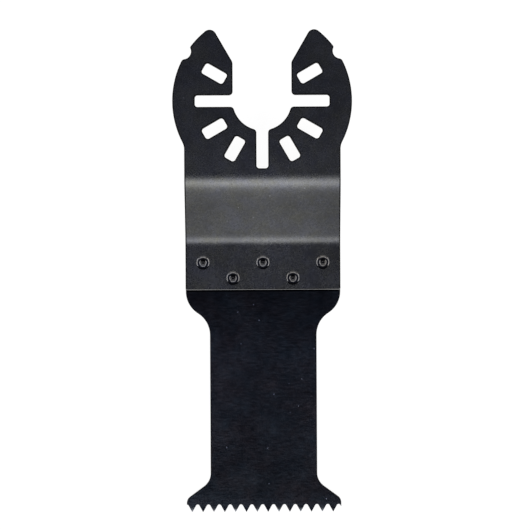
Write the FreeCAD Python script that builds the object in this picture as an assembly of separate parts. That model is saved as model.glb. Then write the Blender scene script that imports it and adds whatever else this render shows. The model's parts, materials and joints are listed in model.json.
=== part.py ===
"""Plunge-cut blade for an oscillating multi-tool.

A stamped and bent mounting plate lies over the end of a toothed blade, and five spot welds
join the two. Units are millimetres and degrees. The origin is on the tool's spindle axis, in
the face of the head that meets the tool: +Z points at the tool, +Y at the open mouth of the
fork and -Y at the teeth. Sizes run outwards from the spindle, as the fit on the tool needs.
"""
import FreeCAD, Part
import math
import os

V = FreeCAD.Vector

# Fork: the seat for the spindle boss and the mouth that slides round it from the side
mouth_width = 11.3
mouth_flare_y = 7.45
mouth_flare_angle = 30.0
mouth_corner_radius = 1.0
prong_tip_radius = 1.35

# Drive slots: open ones off the mouth and closed ones between them, ending on one circle
slot_width = 2.25
slot_reach = 12.93
slot_inner_land = 2.55
slot_end_radius = 0.55
slot_mouth_radius = 0.75
open_slot_angles = (0.0, 180.0, 270.0)
closed_slot_angles = (30.0, 150.0, 210.0, 240.0, 300.0, 330.0)

# Head round the slots, and the straight stem that it narrows to
plate_thickness = 1.5
rim_land = 4.31
stem_step = 2.24
stem_blend_radius = 3.0

# Scallops in the rim of the head, one on each prong
scallop_radius = 1.48
scallop_offset = 0.58
scallop_angle = 32.3
scallop_lip_radius = 0.85

# Joggle, the double bend that drops the flange below the head, and the flange. Each bend's
# radius is on the inside of its curve: the upper one's underneath, the lower one's on top.
joggle_land = 0.92
joggle_run = 13.9
joggle_height = 5.0
upper_bend_radius = 7.5
lower_bend_radius = 5.7
flange_length = 8.55

# Blade
blade_thickness = 1.2
blade_back_gap = 0.3
cutting_depth = 43.1
neck_gap = 0.3
neck_radius = 5.0
waist_width = 20.7
edge_width = 30.0
edge_shoulder_height = 2.46
edge_corner_radius = 1.4
flare_angle = 36.3
flare_radius = 3.2

# Teeth, punched and then set to alternate sides
tooth_pitch = 2.106
tooth_half_angle = 29.0
tooth_tip_flat = 0.06
gullet_radius = 0.38
tooth_set = 0.1
set_line_depth = 0.45

# Spot welds, in a zigzag across the flange. The weld radius is taken at the bottom of the
# groove that the electrode presses round the button.
weld_count = 5
weld_side_inset = 3.4
weld_row_inset = 3.84
weld_zigzag = 3.0
weld_radius = 0.86
weld_crater_radius = 1.37
weld_groove_depth = 0.17
weld_button_radius = 0.42
weld_dimple_radius = 0.17
weld_dimple_depth = 0.03
weld_penetration_share = 0.55

# Cutters stand this far past what they cut.
cut_margin = 2.0

# Half widths and plan positions that follow from the sizes above
mouth_half = mouth_width / 2
slot_half = slot_width / 2
waist_half = waist_width / 2
edge_half = edge_width / 2
head_radius = slot_reach + rim_land
stem_half = head_radius - stem_step
joggle_start_y = -slot_reach - joggle_land
joggle_end_y = joggle_start_y - joggle_run
flange_end_y = joggle_end_y - flange_length
blade_back_y = joggle_end_y - blade_back_gap
neck_y = flange_end_y - neck_gap
tooth_tip_y = flange_end_y - cutting_depth
shoulder_y = tooth_tip_y + edge_shoulder_height

# Levels, from the head's top face at zero down to the back of the blade
flange_top_z = -joggle_height
lap_z = flange_top_z - plate_thickness
blade_back_z = lap_z - blade_thickness
plan_top_z = cut_margin
plan_bottom_z = blade_back_z - cut_margin


def line(a, b):
    return Part.LineSegment(V(*a), V(*b)).toShape()


def arc(a, middle, b):
    return Part.Arc(V(*a), V(*middle), V(*b)).toShape()


def face(edges):
    return Part.Face(Part.Wire(Part.__sortEdges__(edges)))


def polygon(points):
    return face([line(points[i - 1], points[i]) for i in range(len(points))])


def through(outline):
    """Prism on an outline drawn at the plan's bottom level, right through the part."""
    return outline.extrude(V(0, 0, plan_top_z - plan_bottom_z))


def through_block(x0, x1, y0, y1):
    corners = [(x0, y0), (x1, y0), (x1, y1), (x0, y1)]
    return through(polygon([(x, y, plan_bottom_z) for x, y in corners]))


def through_disc(radius, x=0.0, y=0.0):
    return Part.makeCylinder(radius, plan_top_z - plan_bottom_z, V(x, y, plan_bottom_z))


def turned(solid, angle):
    """The solid turned about the spindle axis."""
    solid.rotate(V(0, 0, 0), V(0, 0, 1), angle)
    return solid


def round_upright(solid, corners, radius):
    """Round the upright edge that stands nearest each corner given in plan."""
    upright = []
    for edge in solid.Edges:
        ends = [vertex.Point for vertex in edge.Vertexes]
        if len(ends) == 2 and math.hypot(ends[0].x - ends[1].x, ends[0].y - ends[1].y) < 1e-6:
            upright.append(edge)

    def nearest(x, y):
        return min(upright, key=lambda e: math.hypot(e.Vertexes[0].X - x, e.Vertexes[0].Y - y))

    return solid.makeFillet(radius, [nearest(x, y) for x, y in corners])


def both_sides(x, y):
    """A point in plan on the right and its mirror image on the left."""
    return [(x, y), (-x, y)]


# Mounting plate


def plate_blank():
    """Round head and straight stem, blended where the rim runs into the stem's sides."""
    junction_y = -math.sqrt(head_radius ** 2 - stem_half ** 2)
    stem = through_block(-stem_half, stem_half, flange_end_y, 0.0)
    blank = through_disc(head_radius).fuse(stem).removeSplitter()
    return round_upright(blank, both_sides(stem_half, junction_y), stem_blend_radius)


def prong_tip():
    """Where the flared side of the mouth runs out through the head's rim, on the right."""
    slope = math.radians(mouth_flare_angle)
    dx, dy = math.sin(slope), math.cos(slope)
    along = mouth_half * dx + mouth_flare_y * dy
    start = math.hypot(mouth_half, mouth_flare_y)
    run = math.sqrt(along ** 2 - start ** 2 + head_radius ** 2) - along
    return mouth_half + run * dx, mouth_flare_y + run * dy


def mouth_cutter():
    """Round seat for the spindle boss, straight throat and flared entry, as one cutter."""
    top_y = head_radius + cut_margin
    top_x = mouth_half + (top_y - mouth_flare_y) * math.tan(math.radians(mouth_flare_angle))
    corners = [
        (-mouth_half, mouth_flare_y),
        (mouth_half, mouth_flare_y),
        (top_x, top_y),
        (-top_x, top_y),
    ]
    entry = through(polygon([(x, y, plan_bottom_z) for x, y in corners]))
    throat = through_block(-mouth_half, mouth_half, 0.0, mouth_flare_y)
    return through_disc(mouth_half).fuse([throat, entry])


def open_slot():
    """Slot off the mouth along +X, with its far corners rounded."""
    slot = through_block(0.0, slot_reach, -slot_half, slot_half)
    far_corners = [(slot_reach, -slot_half), (slot_reach, slot_half)]
    return round_upright(slot, far_corners, slot_end_radius)


def closed_slot():
    """Slot along +X between the seat and the rim, rounded at its four corners."""
    inner = mouth_half + slot_inner_land
    slot = through_block(inner, slot_reach, -slot_half, slot_half)
    corners = [(x, y) for x in (inner, slot_reach) for y in (-slot_half, slot_half)]
    return round_upright(slot, corners, slot_end_radius)


def cut_fork(blank):
    """Cut the mouth with its open slots, and round the corners that the punch leaves."""
    slots = [turned(open_slot(), angle) for angle in open_slot_angles]
    fork = blank.cut([mouth_cutter()] + slots)
    seat_edge = math.sqrt(mouth_half ** 2 - slot_half ** 2)
    slot_mouths = (both_sides(mouth_half, slot_half) + both_sides(seat_edge, -slot_half)
                   + both_sides(slot_half, -seat_edge))
    fork = round_upright(fork, slot_mouths, slot_mouth_radius)
    fork = round_upright(fork, both_sides(mouth_half, mouth_flare_y), mouth_corner_radius)
    return round_upright(fork, both_sides(*prong_tip()), prong_tip_radius)


def cut_scallops(fork):
    """Bite a scallop out of the rim of each prong. Its upper corner stays sharp."""
    circle = head_radius + scallop_offset
    angle = math.radians(scallop_angle)
    reach = head_radius ** 2 + circle ** 2 - scallop_radius ** 2
    lip_angle = angle - math.acos(reach / (2 * head_radius * circle))
    centres = both_sides(circle * math.cos(angle), circle * math.sin(angle))
    lips = both_sides(head_radius * math.cos(lip_angle), head_radius * math.sin(lip_angle))
    bites = [through_disc(scallop_radius, x, y) for x, y in centres]
    return round_upright(fork.cut(bites), lips, scallop_lip_radius)


def bent_sheet():
    """The sheet after the press: level head, sloping web and flange, wider than the plan."""
    upper_outer = upper_bend_radius + plate_thickness
    lower_outer = lower_bend_radius + plate_thickness
    reach = upper_outer + lower_bend_radius
    angle = (math.asin(reach / math.hypot(joggle_run, reach - joggle_height))
             - math.atan2(reach - joggle_height, joggle_run))
    left = -head_radius - cut_margin
    head_y = head_radius + cut_margin
    flange_y = flange_end_y - cut_margin

    def upper(radius, bend):
        """Point on the upper bend, whose centre is below the sheet."""
        return (left, joggle_start_y - radius * math.sin(bend),
                radius * math.cos(bend) - upper_outer)

    def lower(radius, bend):
        """Point on the lower bend, whose centre is above the sheet."""
        return (left, joggle_end_y + radius * math.sin(bend),
                flange_top_z + lower_bend_radius - radius * math.cos(bend))

    def skin(z, upper_radius, lower_radius):
        """One side of the sheet: head, upper bend, web, lower bend and flange."""
        return [
            line((left, head_y, z), upper(upper_radius, 0)),
            arc(upper(upper_radius, 0), upper(upper_radius, angle / 2), upper(upper_radius, angle)),
            line(upper(upper_radius, angle), lower(lower_radius, angle)),
            arc(lower(lower_radius, angle), lower(lower_radius, angle / 2), lower(lower_radius, 0)),
            line(lower(lower_radius, 0), (left, flange_y, z - joggle_height)),
        ]

    top = skin(0.0, upper_outer, lower_bend_radius)
    bottom = skin(-plate_thickness, upper_bend_radius, lower_outer)
    ends = [
        line((left, head_y, 0.0), (left, head_y, -plate_thickness)),
        line((left, flange_y, flange_top_z), (left, flange_y, lap_z)),
    ]
    return face(top + bottom + ends).extrude(V(-2 * left, 0, 0))


def mount_plate():
    """Stamp the plan, bend the sheet and sink the weld craters."""
    plan = cut_scallops(cut_fork(plate_blank()))
    plan = plan.cut([turned(closed_slot(), angle) for angle in closed_slot_angles])
    plate = bent_sheet().common(plan)
    return plate.cut([weld_crater(centre) for centre in weld_centres()])


# Spot welds


def weld_centres():
    """Plan centres of the welds, the middle and outer ones nearer the joggle."""
    spacing = 2 * (stem_half - weld_side_inset) / (weld_count - 1)
    row_y = flange_end_y + weld_row_inset
    centres = []
    for i in range(weld_count):
        step = weld_zigzag / 2 if i % 2 == 0 else -weld_zigzag / 2
        centres.append((-stem_half + weld_side_inset + i * spacing, row_y + step))
    return centres


def revolve(half_section, centre):
    """Turn a half section drawn in the XZ plane about the Z axis, and stand it at centre."""
    solid = face(half_section).revolve(V(0, 0, 0), V(0, 0, 1), 360)
    solid.translate(V(centre[0], centre[1], 0))
    return solid


def chain(points):
    """Straight edges through points given as radius and height."""
    return [line((r0, 0, z0), (r1, 0, z1)) for (r0, z0), (r1, z1) in zip(points, points[1:])]


def dip(rim, bottom):
    """Arc from a rim down to its bottom, where it lies level. Both are radius and height."""
    (rim_r, rim_z), (bottom_r, bottom_z) = rim, bottom
    width, depth = rim_r - bottom_r, rim_z - bottom_z
    round_radius = (width ** 2 + depth ** 2) / (2 * depth)
    half_span = math.asin(width / round_radius) / 2
    middle = (bottom_r + round_radius * math.sin(half_span), 0,
              bottom_z + round_radius * (1 - math.cos(half_span)))
    return arc((rim_r, 0, rim_z), middle, (bottom_r, 0, bottom_z))


def weld_nugget(centre):
    """Fused metal of one weld, with the button and dimple that the electrode leaves on top."""
    pole, dimple_rim = (0, flange_top_z - weld_dimple_depth), (weld_dimple_radius, flange_top_z)
    groove = (weld_radius, flange_top_z - weld_groove_depth)
    seam, root = (weld_radius, lap_z), (0, lap_z - weld_penetration_share * blade_thickness)
    button_rim = (weld_button_radius, flange_top_z)
    section = [dip(dimple_rim, pole), dip(button_rim, groove), dip(seam, root)]
    section += chain([dimple_rim, button_rim]) + chain([groove, seam]) + chain([root, pole])
    return revolve(section, centre)


def weld_crater(centre):
    """What a weld takes out of the plate: the groove's outer side and the nugget's hole."""
    clear_z = flange_top_z + cut_margin
    groove = (weld_radius, flange_top_z - weld_groove_depth)
    crater_rim = (weld_crater_radius, flange_top_z)
    section = [dip(crater_rim, groove)]
    section += chain([groove, (weld_radius, lap_z), (0, lap_z)])
    section += chain([(0, lap_z), (0, clear_z), (weld_crater_radius, clear_z), crater_rim])
    return revolve(section, centre)


# Saw blade


def flare_height():
    """How far the flare climbs from the shoulder to the waist."""
    return (edge_half - waist_half) * math.tan(math.radians(flare_angle))


def blade_side(side):
    """Edges down one side of the blade, from its back to the tooth line: 1 right, -1 left."""
    turn = math.acos(1 - (stem_half - waist_half) / (2 * neck_radius))
    waist_y = neck_y - 2 * neck_radius * math.sin(turn)

    def at(x, y):
        return side * x, y, plan_bottom_z

    def out(bend):
        """Point on the neck's upper arc, which turns in from the stem's width."""
        x = stem_half - neck_radius * (1 - math.cos(bend))
        return at(x, neck_y - neck_radius * math.sin(bend))

    def back(bend):
        """Point on the neck's lower arc, which straightens into the waist."""
        x = waist_half + neck_radius * (1 - math.cos(bend))
        return at(x, waist_y + neck_radius * math.sin(bend))

    waist_end = at(waist_half, shoulder_y + flare_height())
    shoulder = at(edge_half, shoulder_y)
    return [
        line(at(stem_half, blade_back_y), out(0)),
        arc(out(0), out(turn / 2), out(turn)),
        arc(back(turn), back(turn / 2), back(0)),
        line(back(0), waist_end),
        line(waist_end, shoulder),
        line(shoulder, at(edge_half, tooth_tip_y)),
    ]


def tooth_levels():
    """Plan heights of a gullet's sharp point, the centre of its arc and its floor."""
    half_angle = math.radians(tooth_half_angle)
    point_y = tooth_tip_y + (tooth_pitch - tooth_tip_flat) / (2 * math.tan(half_angle))
    centre_y = point_y - gullet_radius / math.sin(half_angle)
    return point_y, centre_y, centre_y + gullet_radius


def gullet(x):
    """Cutter for the space between two teeth: straight flanks into a round floor."""
    half_angle = math.radians(tooth_half_angle)
    point_y, centre_y, floor_y = tooth_levels()
    open_y = tooth_tip_y - cut_margin
    open_half = (point_y - open_y) * math.tan(half_angle)
    flank_half = gullet_radius * math.cos(half_angle)
    flank_y = centre_y + gullet_radius * math.sin(half_angle)
    left, right = (x - flank_half, flank_y, plan_bottom_z), (x + flank_half, flank_y, plan_bottom_z)
    open_left, open_right = (x - open_half, open_y, plan_bottom_z), (x + open_half, open_y, plan_bottom_z)
    return through(face([
        line(open_left, left),
        arc(left, (x, floor_y, plan_bottom_z), right),
        line(right, open_right),
        line(open_right, open_left),
    ]))


def blade_plan():
    """Outline of the blade with its gullets, right through the part."""
    back = line((-stem_half, blade_back_y, plan_bottom_z), (stem_half, blade_back_y, plan_bottom_z))
    front = line((-edge_half, tooth_tip_y, plan_bottom_z), (edge_half, tooth_tip_y, plan_bottom_z))
    plan = through(face([back, front] + blade_side(1) + blade_side(-1)))

    # The two rounds at the ends of the flare share its length, so neither outgrows it.
    tangent = math.tan(math.radians(90 - flare_angle) / 2)
    flare_length = (edge_half - waist_half) / math.cos(math.radians(flare_angle))
    waist_round = min(flare_radius, flare_length * 2 / 3 / tangent)
    shoulder_round = min(edge_corner_radius, flare_length / 3 / tangent)
    plan = round_upright(plan, both_sides(waist_half, shoulder_y + flare_height()), waist_round)
    plan = round_upright(plan, both_sides(edge_half, shoulder_y), shoulder_round)

    # The first gullet is centred on the left edge, and the row runs on past the right one.
    gullet_count = int(edge_width / tooth_pitch) + 1
    return plan.cut([gullet(-edge_half + i * tooth_pitch) for i in range(gullet_count)])


def set_tooth(index, bend_y):
    """Sheared bar that one tooth is cut from. Its tip leans out of the blade by the set."""
    lean = -tooth_set if index % 2 == 0 else tooth_set
    x = -edge_half + index * tooth_pitch
    bar = polygon([
        (x, bend_y, blade_back_z),
        (x, bend_y, lap_z),
        (x, tooth_tip_y, lap_z + lean),
        (x, tooth_tip_y, blade_back_z + lean),
    ])
    return bar.extrude(V(min(tooth_pitch, edge_half - x), 0, 0))


def saw_blade():
    """Flat blade with a waist and a flared, toothed end, welded under the flange."""
    bend_y = tooth_levels()[2] - set_line_depth
    widest = max(stem_half, edge_half)
    length = blade_back_y - bend_y
    slab = Part.makeBox(2 * widest, length, blade_thickness, V(-widest, bend_y, blade_back_z))
    tooth_count = math.ceil(edge_width / tooth_pitch)
    teeth = [set_tooth(index, bend_y) for index in range(tooth_count)]
    blade = slab.fuse(teeth).common(blade_plan())
    return blade.cut([weld_nugget(centre) for centre in weld_centres()])


os.makedirs("parts", exist_ok=True)
mount_plate().exportStep("parts/mount_plate.step")
saw_blade().exportStep("parts/saw_blade.step")
for number, centre in enumerate(weld_centres(), start=1):
    weld_nugget(centre).exportStep(f"parts/spot_weld_{number}.step")
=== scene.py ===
import json
import math

import bpy
from mathutils import Matrix, Vector

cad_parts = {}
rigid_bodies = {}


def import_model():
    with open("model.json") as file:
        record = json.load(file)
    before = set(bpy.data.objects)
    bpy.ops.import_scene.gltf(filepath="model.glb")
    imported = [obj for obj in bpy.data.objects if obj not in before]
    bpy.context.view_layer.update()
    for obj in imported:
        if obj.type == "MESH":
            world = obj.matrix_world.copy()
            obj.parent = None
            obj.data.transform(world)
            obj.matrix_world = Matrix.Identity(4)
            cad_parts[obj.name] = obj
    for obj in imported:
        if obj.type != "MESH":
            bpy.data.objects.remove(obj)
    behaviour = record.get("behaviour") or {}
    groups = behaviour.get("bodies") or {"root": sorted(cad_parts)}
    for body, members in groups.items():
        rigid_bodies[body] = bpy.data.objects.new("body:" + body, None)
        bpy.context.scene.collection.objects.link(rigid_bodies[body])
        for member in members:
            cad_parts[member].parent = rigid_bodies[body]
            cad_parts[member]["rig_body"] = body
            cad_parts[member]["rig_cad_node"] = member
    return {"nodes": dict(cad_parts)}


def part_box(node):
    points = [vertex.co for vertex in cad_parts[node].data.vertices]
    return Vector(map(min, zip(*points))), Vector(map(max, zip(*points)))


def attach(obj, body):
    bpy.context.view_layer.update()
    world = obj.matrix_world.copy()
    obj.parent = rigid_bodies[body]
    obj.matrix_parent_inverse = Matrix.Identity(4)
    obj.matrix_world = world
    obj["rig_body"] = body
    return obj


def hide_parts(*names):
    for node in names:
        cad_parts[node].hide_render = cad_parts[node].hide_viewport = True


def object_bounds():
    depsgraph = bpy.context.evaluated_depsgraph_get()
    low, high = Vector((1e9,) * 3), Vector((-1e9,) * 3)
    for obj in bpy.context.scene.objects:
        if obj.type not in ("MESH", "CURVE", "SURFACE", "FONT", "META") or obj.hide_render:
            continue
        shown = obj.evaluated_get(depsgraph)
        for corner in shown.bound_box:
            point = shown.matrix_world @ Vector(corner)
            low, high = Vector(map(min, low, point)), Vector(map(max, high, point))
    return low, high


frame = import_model()
cad_low, cad_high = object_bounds()


# Mounting plate. One sheet of 1.5 mm spring steel, blanked with its fork and slots, pressed into
# a double bend, blasted and blackened. Its sheared walls are rougher and darker than its faces,
# and on the broken edges that deeper black is painted shade that draws a dark outline. The front
# edge of the flange, which the die rolled over, catches the light, and is painted paler there as
# a painted highlight.
MM = 0.001
PLATE_EDGE_BREAK = 0.24 * MM
EDGE_STEPS = 3
CORNER_ANGLE = math.radians(38)
SAME_POINT = 0.0005 * MM
SAME_PLANE = math.radians(0.05)
GROOVE_RIM = 1.37 * MM
WELD_REACH = 1.1 * GROOVE_RIM
plate_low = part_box("mount_plate")[0]
WELD_NODES = [name for name in sorted(frame["nodes"]) if name.startswith("spot_weld")]
WELD_CENTRES = [sum(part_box(name), Vector()) / 2 for name in WELD_NODES]
FLANGE_TOP_Z = max(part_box(name)[1].z for name in WELD_NODES)

# Where a normal's height tells faces apart: walls lie below the first, and the slanting middle
# strip of a broken edge between the two.
WALL_Z = 0.5
STRIP_Z = 0.9
FACE_SLOT, WALL_SLOT, ROLLED_SLOT = range(3)

# The oxide's patterns: how wide their blotches are, and how they lie between 0 and 1.
TINT_MM = 2.6
CLOUD_MM = 3.0
BLOTCH_AT_SCALE_1 = 0.5
TINT_RANGE = (0.36, 0.64)
NOISE_RANGE = (0.3, 0.7)
CLOUD_WEIGHT = 2.0
HEAD_END_MM = -9.0
WEB_START_MM = -15.0
SPECK_SPACING_MM = 2.5
SPECK_CORE_MM = 0.075
SPECK_RIM_MM = 0.1375


def linear(hex_colour):
    """An sRGB hex colour as the linear RGBA that a shader takes."""
    channels = [int(hex_colour[i:i + 2], 16) / 255 for i in (1, 3, 5)]
    return [c / 12.92 if c <= 0.04045 else ((c + 0.055) / 1.055) ** 2.4 for c in channels] + [1.0]


def add_node(material, kind, settings=None, inputs=None):
    """Add a node, set its properties, and set or link its inputs."""
    node = material.node_tree.nodes.new(kind)
    for key, value in (settings or {}).items():
        setattr(node, key, value)
    for key, value in (inputs or {}).items():
        if isinstance(value, bpy.types.NodeSocket):
            material.node_tree.links.new(value, node.inputs[key])
        else:
            node.inputs[key].default_value = value
    return node


def new_material(name):
    """A material with an empty node tree."""
    material = bpy.data.materials.new(name)
    material.use_nodes = True
    material.node_tree.nodes.clear()
    return material


def blackened_steel(name, cool, warm, roughness, grain_mm, grain_shape=(1, 1, 1), grain=0.2,
                    pit_depth_mm=0.0, polish=0.0, cloud=0.15, along=(), across=(), speck=None):
    """Black oxide on steel, as metal so dark that it mirrors less than a tenth of the light.

    grain and cloud are how far the oxide's lightness swings, polish is how far its roughness
    swings with them, and grain_shape draws the grain out along X, Y and Z. along lists pairs of a
    place on Y in millimetres and how light the colour is painted there, which on the plate and
    the blade is mostly painted light and shade. across does so on X, and fades out on the head.
    speck is the colour of the few spots where the steel shows.
    """
    material = new_material(name)
    place = add_node(material, "ShaderNodeTexCoord").outputs["Object"]
    patterns = {}
    for key, size_mm, shape, octaves, fineness in (
            ("tint", TINT_MM, (1, 1, 1), 5, 0.8),
            ("cloud", CLOUD_MM, (1, 1, 1), 5, 0.75),
            ("grain", grain_mm, grain_shape, 2, 0.7)):
        spread = add_node(material, "ShaderNodeMapping", {}, {
            "Vector": place,
            "Scale": [BLOTCH_AT_SCALE_1 / (size_mm * MM * share) for share in shape]})
        patterns[key] = add_node(material, "ShaderNodeTexNoise", {}, {
            "Vector": spread.outputs[0], "Scale": 1.0, "Detail": octaves, "Roughness": fineness})
    mix = add_node(material, "ShaderNodeMapRange", {}, {
        "Value": patterns["tint"].outputs[0],
        "From Min": TINT_RANGE[0], "From Max": TINT_RANGE[1]})
    colour = add_node(material, "ShaderNodeMix", {"data_type": "RGBA"}, {
        0: mix.outputs[0], 6: linear(cool), 7: linear(warm)}).outputs[2]

    swings = []
    for key, share in (("cloud", cloud), ("grain", grain)):
        swings.append(add_node(material, "ShaderNodeMapRange", {}, {
            "Value": patterns[key].outputs[0],
            "From Min": NOISE_RANGE[0], "From Max": NOISE_RANGE[1],
            "To Min": 1 - share, "To Max": 1 + share}))
    axes = add_node(material, "ShaderNodeSeparateXYZ", {}, {0: place}).outputs
    below_head = add_node(material, "ShaderNodeMapRange", {}, {
        "Value": axes["Y"], "From Min": HEAD_END_MM * MM, "From Max": WEB_START_MM * MM,
        "To Min": 0.0, "To Max": 1.0})
    sideways = add_node(material, "ShaderNodeMath", {"operation": "MULTIPLY"}, {
        0: axes["X"], 1: below_head.outputs[0]})
    for axis, shares in ((axes["Y"], along), (sideways.outputs[0], across)):
        reached = 1.0
        for (place0, share0), (place1, share1) in zip(shares, shares[1:]):
            swings.append(add_node(material, "ShaderNodeMapRange", {}, {
                "Value": axis, "From Min": place0 * MM, "From Max": place1 * MM,
                "To Min": share0 / reached, "To Max": share1 / reached}))
            reached = share1
    for swing in swings:
        colour = add_node(material, "ShaderNodeVectorMath", {"operation": "SCALE"}, {
            0: colour, "Scale": swing.outputs[0]}).outputs[0]

    if speck:
        spots = add_node(material, "ShaderNodeTexVoronoi", {}, {
            "Vector": place, "Scale": 1 / (SPECK_SPACING_MM * MM)})
        bare = add_node(material, "ShaderNodeMapRange", {}, {
            "Value": spots.outputs["Distance"],
            "From Min": SPECK_CORE_MM / SPECK_SPACING_MM,
            "From Max": SPECK_RIM_MM / SPECK_SPACING_MM, "To Min": 1.0, "To Max": 0.0})
        colour = add_node(material, "ShaderNodeMix", {"data_type": "RGBA"}, {
            0: bare.outputs[0], 6: colour, 7: linear(speck)}).outputs[2]

    uneven = add_node(material, "ShaderNodeMath", {"operation": "MULTIPLY_ADD"}, {
        0: patterns["cloud"].outputs[0], 1: CLOUD_WEIGHT, 2: patterns["grain"].outputs[0]})
    rough = add_node(material, "ShaderNodeMapRange", {}, {
        "Value": uneven.outputs[0],
        "From Min": (CLOUD_WEIGHT + 1) * NOISE_RANGE[0],
        "From Max": (CLOUD_WEIGHT + 1) * NOISE_RANGE[1],
        "To Min": roughness * (1 - polish), "To Max": roughness * (1 + polish)})
    pits = add_node(material, "ShaderNodeBump", {}, {
        "Height": patterns["grain"].outputs[0], "Strength": 1.0, "Distance": pit_depth_mm * MM})
    shader = add_node(material, "ShaderNodeBsdfPrincipled", {}, {
        "Base Color": colour, "Metallic": 1.0, "Roughness": rough.outputs[0],
        "Normal": pits.outputs["Normal"]})
    add_node(material, "ShaderNodeOutputMaterial", {}, {"Surface": shader.outputs["BSDF"]})
    return material


def open_copy(node, name, face_material, wall_material):
    """A merged copy of a CAD node, selected and active, with its upright walls told apart."""
    bpy.ops.object.select_all(action="DESELECT")
    piece = frame["nodes"][node].copy()
    piece.data = piece.data.copy()
    piece.name = name
    bpy.context.scene.collection.objects.link(piece)
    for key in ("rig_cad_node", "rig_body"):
        del piece[key]
    piece.parent = None
    piece.select_set(True)
    bpy.context.view_layer.objects.active = piece
    bpy.ops.object.mode_set(mode="EDIT")
    bpy.ops.mesh.select_all(action="SELECT")
    bpy.ops.mesh.remove_doubles(threshold=SAME_POINT)
    bpy.ops.mesh.dissolve_limited(angle_limit=SAME_PLANE)
    bpy.ops.object.mode_set(mode="OBJECT")
    piece.data.materials.clear()
    piece.data.materials.append(face_material)
    piece.data.materials.append(wall_material)
    for face in piece.data.polygons:
        face.material_index = WALL_SLOT if abs(face.normal.z) < WALL_Z else FACE_SLOT
    return piece


def break_edges(piece, width, share_at):
    """Round the sharp edges. share_at gives an edge's share of the width from its middle."""
    mesh = piece.data
    normals_at = {}
    for face in mesh.polygons:
        for key in face.edge_keys:
            normals_at.setdefault(key, []).append(face.normal)
    weights = mesh.attributes.new("bevel_weight_edge", "FLOAT", "EDGE")
    for edge in mesh.edges:
        normals = normals_at[edge.key]
        if len(normals) == 2 and normals[0].angle(normals[1]) > CORNER_ANGLE:
            a, b = (mesh.vertices[i].co for i in edge.vertices)
            weights.data[edge.index].value = share_at((a + b) / 2)
    bevel = piece.modifiers.new("edge_break", "BEVEL")
    bevel.limit_method = "WEIGHT"
    bevel.width = width
    bevel.segments = EDGE_STEPS
    bevel.use_clamp_overlap = False
    bevel.loop_slide = False
    bevel.miter_outer = "MITER_ARC"
    # The broken edges take the walls' deeper black: painted shade, a dark outline round the
    # sheet.
    bevel.material = WALL_SLOT
    bpy.ops.object.modifier_apply(modifier=bevel.name)


def finish_shading(piece):
    """Smooth the curved walls, keep the real corners and leave the flats flat."""
    bpy.ops.object.shade_smooth_by_angle(angle=CORNER_ANGLE)
    weighted = piece.modifiers.new("flat_faces", "WEIGHTED_NORMAL")
    weighted.keep_sharp = True
    bpy.ops.object.modifier_apply(modifier=weighted.name)


def plate_edge_share(middle):
    """Every edge but the rims of the welds' grooves."""
    return 0.0 if min((middle - c).to_2d().length for c in WELD_CENTRES) < WELD_REACH else 1.0


def on_rolled_edge(face):
    """Whether a face is the slanting middle strip of the flange's upper front edge."""
    at_front = face.center.y < plate_low.y + PLATE_EDGE_BREAK
    at_top = face.center.z > FLANGE_TOP_Z - PLATE_EDGE_BREAK
    return at_front and at_top and WALL_Z < face.normal.z < STRIP_Z


# Blasted and black-oxidised spring steel: a fine grain of pits under a matt grey sheen. The pits,
# a few hundredths of a millimetre across, are drawn coarser so that they show. The colour is
# painted lighter on the two bends and on the head next to the upper bend: a painted highlight
# that adds to the light they catch. It darkens to the right below the head.
plate_face = blackened_steel(
    "blasted_black_oxide", "#4A4B4F", "#4B4B47", roughness=0.27, grain_mm=0.17, grain=0.2,
    pit_depth_mm=0.006, polish=0.1, cloud=0.15, speck="#717274",
    along=[(-28.8, 1.16), (-27.6, 1.35), (-26.6, 1.05), (-25.0, 1.08), (-20.0, 0.94),
           (-15.0, 1.44), (-9.0, 1.13), (-3.0, 0.98)],
    across=[(-15.0, 0.92), (2.0, 1.06), (15.0, 0.81)])
# The rolled front edge of the flange, painted a pale grey: a painted highlight, a thin grey line
# of light that adds to the light the rounded edge catches.
rolled_edge = blackened_steel(
    "rolled_edge_painted_highlight", "#A0A1A3", "#A2A19F", roughness=0.3, grain_mm=0.2, grain=0.15)
# Sheared and black-oxidised spring steel: upright tears in a deeper black. On the broken edges,
# which take this material too, the deeper black is painted shade that draws a dark outline round
# the sheet. The tears are drawn coarser than they are, so that they show.
wall_black_and_painted_outline = blackened_steel(
    "sheared_black_oxide_and_painted_outline", "#0D0D0F", "#100F0E", roughness=0.5, grain_mm=0.12,
    grain_shape=(1, 1, 6), grain=0.3, pit_depth_mm=0.006)
plate = open_copy("mount_plate", "plate", plate_face, wall_black_and_painted_outline)
break_edges(plate, PLATE_EDGE_BREAK, plate_edge_share)
# The middle strip of the flange's rolled front edge takes the pale grey: a painted highlight.
plate.data.materials.append(rolled_edge)
for face in plate.data.polygons:
    if on_rolled_edge(face):
        face.material_index = ROLLED_SLOT
finish_shading(plate)
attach(plate, "root")
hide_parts("mount_plate")


# Saw blade. A strip of 1.2 mm blade steel, ground flat, blanked with its waist and teeth, set and
# blackened to a smoother, darker black than the plate. It lies under the flange.
BLADE_EDGE_BREAK = 0.16 * MM
TOOTH_ROW_DEPTH = 2.0 * MM
blade_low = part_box("saw_blade")[0]


def blade_edge_share(middle):
    """The sides and back of the blade. The teeth stay sharp."""
    return 0.0 if middle.y < blade_low.y + TOOTH_ROW_DEPTH else 1.0


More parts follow.
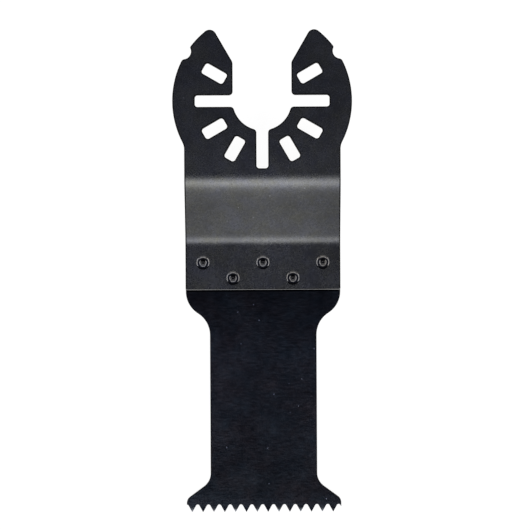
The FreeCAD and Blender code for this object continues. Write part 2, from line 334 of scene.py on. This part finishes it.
# Ground and black-oxidised blade steel: faint grinding streaks across a satin blue black, drawn
# as coarse as they have to be to show. The colour is paler along the toothed edge. Above the
# teeth it is painted darker as painted shade that offsets the key lamp's sheen down the blade.
# Towards the flange it is painted darker again as painted shade, ending in a painted shadow, a
# black line in the corner under the flange.
blade_face = blackened_steel(
    "ground_black_oxide", "#40474B", "#494546", roughness=0.17, grain_mm=0.17,
    grain_shape=(4, 1, 1), grain=0.4, pit_depth_mm=0.0005, polish=0.13, cloud=0.26,
    along=[(-78.5, 1.15), (-75.5, 0.78), (-55.0, 0.95), (-49.0, 1.05), (-36.66, 0.5),
           (-36.56, 0.05)],
    across=[(-13.0, 1.12), (0.0, 0.98), (13.0, 1.04)], speck="#D6D8DC")
blade = open_copy("saw_blade", "blade", blade_face, wall_black_and_painted_outline)
break_edges(blade, BLADE_EDGE_BREAK, blade_edge_share)
finish_shading(blade)
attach(blade, "root")
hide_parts("saw_blade")


# Spot welds. Five nuggets of fused steel that join the two sheets. The electrode presses a round
# groove into the plate, with a flat button inside it.
GROOVE_BOTTOM = 0.86 * MM
GROOVE_DEPTH = 0.17 * MM
BUTTON_RADIUS = 0.42 * MM
FLAT_Z = 0.9999
PLATE_WELD_SLOT = 3
BUTTON_SLOT = 2
# Fused and black-oxidised steel: smoother than the blasted sheet round it, so it glints.
weld_face = blackened_steel(
    "weld_black_oxide", "#48494D", "#4B4946", roughness=0.14, grain_mm=0.15, grain=0.25,
    pit_depth_mm=0.002)
# The middle of a weld, painted a deeper black than the groove round it: painted shade, for the
# dark that its flat button mirrors.
weld_button_shade = blackened_steel(
    "weld_button_painted_shade", "#2B2B2E", "#2D2C2B", roughness=0.14, grain_mm=0.15)


def groove_normal(point, centre):
    """The normal of the groove's arc: it rises from a level bottom to the rim or the button."""
    outwards = (point - centre).to_2d()
    width = GROOVE_RIM - GROOVE_BOTTOM
    if outwards.length < GROOVE_BOTTOM:
        width = GROOVE_BOTTOM - BUTTON_RADIUS
    arc_radius = (width ** 2 + GROOVE_DEPTH ** 2) / (2 * GROOVE_DEPTH)
    slope = min(1.0, (outwards.length - GROOVE_BOTTOM) / arc_radius)
    sideways = -slope * outwards.normalized()
    return Vector((sideways.x, sideways.y, math.sqrt(1 - slope ** 2)))


def finish_groove(piece, centres, material_index):
    """Give the facets of the grooves their material and the normals of the arcs."""
    mesh = piece.data
    normals = [corner.vector.copy() for corner in mesh.corner_normals]
    for face in mesh.polygons:
        centre = min(centres, key=lambda c: (face.center - c).to_2d().length)
        reach = (face.center - centre).to_2d().length
        if BUTTON_RADIUS < reach < GROOVE_RIM and WALL_Z < face.normal.z < FLAT_Z:
            face.material_index = material_index
            for corner in face.loop_indices:
                point = mesh.vertices[mesh.loops[corner].vertex_index].co
                normals[corner] = groove_normal(point, centre)
    mesh.normals_split_custom_set(normals)


plate.data.materials.append(weld_face)
finish_groove(plate, WELD_CENTRES, PLATE_WELD_SLOT)
for node, centre in zip(WELD_NODES, WELD_CENTRES):
    weld = open_copy(node, node + "_cap", weld_face, wall_black_and_painted_outline)
    weld.data.materials.append(weld_button_shade)
    # The flat button takes the deeper black of painted shade.
    for face in weld.data.polygons:
        if (face.center - centre).to_2d().length < BUTTON_RADIUS and face.normal.z > WALL_Z:
            face.material_index = BUTTON_SLOT
    finish_shading(weld)
    finish_groove(weld, [centre], FACE_SLOT)
    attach(weld, "root")
    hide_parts(node)


# Floor, light and camera. A pale floor, a long soft box a little towards the teeth with a faint
# tail and a broad fill below it, a box at each side, and a pale horizon under a dim sky that
# darkens towards the fork.
FLOOR_SIZE = 3.0
FLOOR_SEEN_SHARE = 0.88
FLOOR_SEEN_STRENGTH = 1.08
bpy.ops.object.select_all(action="DESELECT")
bpy.ops.mesh.primitive_plane_add(size=FLOOR_SIZE, location=(0, 0, 0))
floor = bpy.context.object
floor.name = "floor"
floor.data.transform(Matrix.Translation((0, 0, cad_low.z)))
# White seamless paper: the camera and the steel see it almost white, other light sees it pale.
floor_material = new_material("pale_floor")
light_path = add_node(floor_material, "ShaderNodeLightPath")
seen = add_node(floor_material, "ShaderNodeMath", {"operation": "MAXIMUM"}, {
    0: light_path.outputs["Is Camera Ray"], 1: light_path.outputs["Is Glossy Ray"]})
seen = add_node(floor_material, "ShaderNodeMath", {"operation": "MAXIMUM"}, {
    0: seen.outputs[0], 1: light_path.outputs["Is Transmission Ray"]})
share = add_node(floor_material, "ShaderNodeMath", {"operation": "MULTIPLY"}, {
    0: seen.outputs[0], 1: FLOOR_SEEN_SHARE})
lit = add_node(floor_material, "ShaderNodeBsdfDiffuse", {}, {"Color": linear("#EBEBEB")})
white = add_node(floor_material, "ShaderNodeEmission", {}, {
    "Color": (1, 1, 1, 1), "Strength": FLOOR_SEEN_STRENGTH})
mixed = add_node(floor_material, "ShaderNodeMixShader", {}, {
    "Fac": share.outputs[0], 1: lit.outputs[0], 2: white.outputs[0]})
add_node(floor_material, "ShaderNodeOutputMaterial", {}, {"Surface": mixed.outputs[0]})
floor.data.materials.append(floor_material)

MIDDLE = Vector((0, -31.5 * MM, 0))
LAMP_DISTANCE = 2.5


def soft_box(name, turn, lean, depth, width, radiance):
    """A rectangular lamp, turned round from the teeth's side and leaning off the vertical.

    depth and width are the angles that it fills, seen from the part.
    """
    turn, lean = math.radians(turn), math.radians(lean)
    data = bpy.data.lights.new(name, "AREA")
    data.shape = "RECTANGLE"
    data.size = 2 * LAMP_DISTANCE * math.tan(math.radians(width) / 2)
    data.size_y = 2 * LAMP_DISTANCE * math.tan(math.radians(depth) / 2)
    data.energy = radiance * math.pi * data.size * data.size_y
    lamp = bpy.data.objects.new(name, data)
    towards = Matrix.Rotation(turn, 3, "Z") @ Vector((0, -math.sin(lean), math.cos(lean)))
    lamp.location = MIDDLE + LAMP_DISTANCE * towards
    lamp.rotation_euler = (lean, 0, turn)
    lamp.visible_camera = False
    bpy.context.scene.collection.objects.link(lamp)


soft_box("key", turn=0, lean=21.6, depth=15.5, width=34, radiance=3.7)
soft_box("key_tail", turn=0, lean=37, depth=14, width=34, radiance=0.35)
soft_box("fill", turn=0, lean=46, depth=34, width=50, radiance=0.85)
soft_box("left", turn=-84, lean=41, depth=17, width=56, radiance=5.4)
soft_box("right", turn=84, lean=41, depth=17, width=56, radiance=5.4)

# The sky, by the sine of a direction's height (Z) or of its lean towards the fork (Y): where each
# part of it starts and where it is full.
GLOW_START, GLOW_FULL = 0.75, 0.15
TEETH_SIDE_START, TEETH_SIDE_FULL = 0.4, -0.1
HORIZON_START, HORIZON_FULL = 0.25, 0.08
FORK_SIDE_START, FORK_SIDE_FULL = 0.15, 0.6
OVERHEAD = (0.098, 0.11, 0.18, 1)
FORK_SIDE_DARK = (0.03, 0.032, 0.04, 1)
world = bpy.data.worlds.new("studio")
bpy.context.scene.world = world
world.use_nodes = True
world.node_tree.nodes.clear()
direction = add_node(world, "ShaderNodeTexCoord").outputs["Generated"]
heading = add_node(world, "ShaderNodeSeparateXYZ", {}, {0: direction})
glow = add_node(world, "ShaderNodeMapRange", {"interpolation_type": "SMOOTHSTEP"}, {
    "Value": heading.outputs["Z"], "From Min": GLOW_START, "From Max": GLOW_FULL,
    "To Min": 0.0, "To Max": 1.0})
side = add_node(world, "ShaderNodeMapRange", {"interpolation_type": "SMOOTHSTEP"}, {
    "Value": heading.outputs["Y"], "From Min": TEETH_SIDE_START, "From Max": TEETH_SIDE_FULL,
    "To Min": 0.0, "To Max": 1.0})
horizon = add_node(world, "ShaderNodeMapRange", {"interpolation_type": "SMOOTHSTEP"}, {
    "Value": heading.outputs["Z"], "From Min": HORIZON_START, "From Max": HORIZON_FULL,
    "To Min": 0.0, "To Max": 1.0})
towards_teeth = add_node(world, "ShaderNodeMath", {"operation": "MULTIPLY"}, {
    0: glow.outputs["Result"], 1: side.outputs["Result"]})
pale = add_node(world, "ShaderNodeMath", {"operation": "MAXIMUM"}, {
    0: towards_teeth.outputs[0], 1: horizon.outputs["Result"]})
dark = add_node(world, "ShaderNodeMapRange", {"interpolation_type": "SMOOTHSTEP"}, {
    "Value": heading.outputs["Y"], "From Min": FORK_SIDE_START, "From Max": FORK_SIDE_FULL,
    "To Min": 0.0, "To Max": 1.0})
overhead = add_node(world, "ShaderNodeMix", {"data_type": "RGBA"}, {
    0: dark.outputs["Result"], 6: OVERHEAD, 7: FORK_SIDE_DARK})
sky = add_node(world, "ShaderNodeMix", {"data_type": "RGBA"}, {
    0: pale.outputs[0], 6: overhead.outputs[2], 7: (1, 1, 1, 1)})
background = add_node(world, "ShaderNodeBackground", {}, {
    "Color": sky.outputs[2], "Strength": 1.0})
add_node(world, "ShaderNodeOutputWorld", {}, {"Surface": background.outputs[0]})

CAMERA_PLACE = Vector((0.403 * MM, -31.477 * MM, 460 * MM))
CAMERA_ROLL = math.radians(0.282)
FOCAL_PIXELS = 2401.1
FRAME_PIXELS = 530
SENSOR_WIDTH = 36.0
camera_data = bpy.data.cameras.new("camera")
camera_data.sensor_width = SENSOR_WIDTH
camera_data.lens = FOCAL_PIXELS * SENSOR_WIDTH / FRAME_PIXELS
camera_data.clip_start = 0.05
camera_data.clip_end = 10
camera = bpy.data.objects.new("camera", camera_data)
camera.location = CAMERA_PLACE
camera.rotation_euler = (0, 0, -CAMERA_ROLL)
bpy.context.scene.collection.objects.link(camera)
bpy.context.scene.camera = camera
bpy.context.scene.view_settings.view_transform = "Standard"
